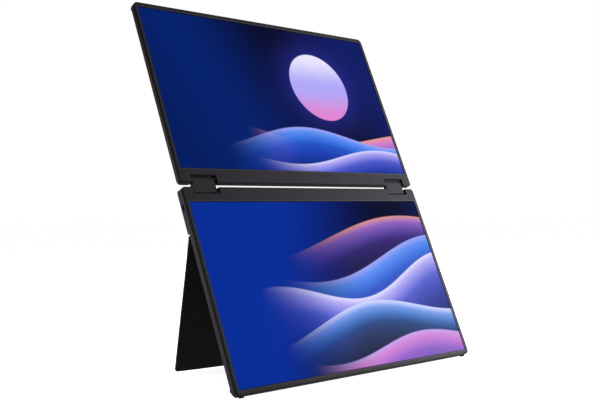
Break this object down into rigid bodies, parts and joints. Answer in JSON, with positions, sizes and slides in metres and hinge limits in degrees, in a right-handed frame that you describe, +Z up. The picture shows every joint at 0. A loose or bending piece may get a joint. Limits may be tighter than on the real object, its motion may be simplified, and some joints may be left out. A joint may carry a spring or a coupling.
{
  "type": "dual portable monitor",
  "caption": "Two flat screens joined edge to edge by a geared double-pivot hinge, leaning back on a rear kickstand, with side sockets, keys and a tripod insert.",
  "frame": {"origin": "on the floor, under the middle of the standing monitor's box", "axes": "+X to the viewer's right, +Y away from the viewer, +Z up; the screens face -Y and lean back"},
  "size_m": [0.3195, 0.1692, 0.362],
  "materials": {
    "bezel_plastic": "fine matte, warm dark grey",
    "cover_plastic": "fine matte, warm dark grey",
    "screen_glass": "glossy lit screen, deep blue to black",
    "display_glass": "black laminated display",
    "spreader_aluminium": "rolled sheet",
    "circuit_board": "dark green solder mask",
    "socket_steel": "drawn steel shell",
    "switch_plastic": "black",
    "button_plastic": "fine matte",
    "insert_brass": "turned",
    "rubber": "dull black",
    "hinge_steel": "ground, lightly oiled",
    "leaf_steel": "black oxide, lightly oiled",
    "screw_steel": "blackened",
    "hinge_shell": "satin dark grey",
    "kickstand_metal": "black anodised, fine blasted"
  },
  "bodies": {
    "lower_screen": {"lower_bezel": "bezel_plastic", "lower_cover_glass": "screen_glass", "lower_display_panel": "display_glass", "lower_heat_spreader": "spreader_aluminium", "lower_rear_cover": "cover_plastic", "main_board": "circuit_board", "key_board": "circuit_board", "usb_c_port": "socket_steel", "mini_hdmi_port": "socket_steel", "socket_tongues": "switch_plastic", "power_switch": "switch_plastic", "menu_switch": "switch_plastic", "tripod_insert": "insert_brass", "left_edge_foot": "rubber", "right_edge_foot": "rubber", "left_lower_bumper": "rubber", "right_lower_bumper": "rubber", "left_lower_hinge_arm": "hinge_steel", "right_lower_hinge_arm": "hinge_steel", "left_lower_shaft_gear": "hinge_steel", "right_lower_shaft_gear": "hinge_steel", "lower_friction_washers": "hinge_steel", "lower_shaft_nuts": "hinge_steel", "left_kickstand_leaf": "leaf_steel", "right_kickstand_leaf": "leaf_steel", "lower_arm_screws": "screw_steel", "board_screws": "screw_steel", "kickstand_leaf_screws": "screw_steel"},
    "hinge_link": {"left_hinge_front_shell": "hinge_shell", "right_hinge_front_shell": "hinge_shell", "left_hinge_rear_shell": "hinge_shell", "right_hinge_rear_shell": "hinge_shell", "hinge_core_plates": "hinge_steel", "idler_pins": "hinge_steel"},
    "upper_screen": {"upper_bezel": "bezel_plastic", "upper_cover_glass": "screen_glass", "upper_display_panel": "display_glass", "upper_heat_spreader": "spreader_aluminium", "upper_rear_cover": "cover_plastic", "upper_driver_board": "circuit_board", "upper_board_screws": "screw_steel", "left_upper_bumper": "rubber", "right_upper_bumper": "rubber", "left_upper_hinge_arm": "hinge_steel", "right_upper_hinge_arm": "hinge_steel", "left_upper_shaft_gear": "hinge_steel", "right_upper_shaft_gear": "hinge_steel", "upper_friction_washers": "hinge_steel", "upper_shaft_nuts": "hinge_steel", "upper_arm_screws": "screw_steel"},
    "lower_idlers": {"lower_idler_gears": "hinge_steel"},
    "upper_idlers": {"upper_idler_gears": "hinge_steel"},
    "kickstand": {"kickstand_plate": "kickstand_metal", "kickstand_foot_strip": "rubber", "left_kickstand_pin": "leaf_steel", "right_kickstand_pin": "leaf_steel"},
    "power_key": {"power_button": "button_plastic"},
    "menu_key": {"menu_button": "button_plastic"}
  },
  "joints": [
    {"name": "lower_pivot", "type": "hinge", "parent": "lower_screen", "child": "hinge_link", "pos_m": [0, -0.0016, 0.17703], "axis": [-1, 0, 0], "range_deg": [-90, 60]},
    {"name": "upper_pivot", "type": "hinge", "parent": "hinge_link", "child": "upper_screen", "pos_m": [0, 0.00204, 0.18504], "axis": [-1, 0, 0], "range_deg": [-90, 60]},
    {"name": "lower_idler_spin", "type": "hinge", "parent": "hinge_link", "child": "lower_idlers", "pos_m": [0, -0.00038, 0.1797], "axis": [-1, 0, 0], "range_deg": [-90, 60]},
    {"name": "upper_idler_spin", "type": "hinge", "parent": "hinge_link", "child": "upper_idlers", "pos_m": [0, 0.00083, 0.18237], "axis": [-1, 0, 0], "range_deg": [-60, 90]},
    {"name": "kickstand_hinge", "type": "hinge", "parent": "lower_screen", "child": "kickstand", "pos_m": [0, -0.01581, 0.13505], "axis": [1, 0, 0], "range_deg": [-48.8, 16.2]},
    {"name": "power_press", "type": "slide", "parent": "lower_screen", "child": "power_key", "axis": [-1, 0, 0], "range_m": [0, 0.0004], "stiffness_N_per_m": 2500, "springref_m": -0.0005},
    {"name": "menu_press", "type": "slide", "parent": "lower_screen", "child": "menu_key", "axis": [-1, 0, 0], "range_m": [0, 0.0004], "stiffness_N_per_m": 2500, "springref_m": -0.0005}
  ],
  "couplings": [
    {"joint": "upper_pivot", "follows": "lower_pivot", "ratio": 1},
    {"joint": "lower_idler_spin", "follows": "lower_pivot", "ratio": 1},
    {"joint": "upper_idler_spin", "follows": "lower_pivot", "ratio": -1}
  ]
}
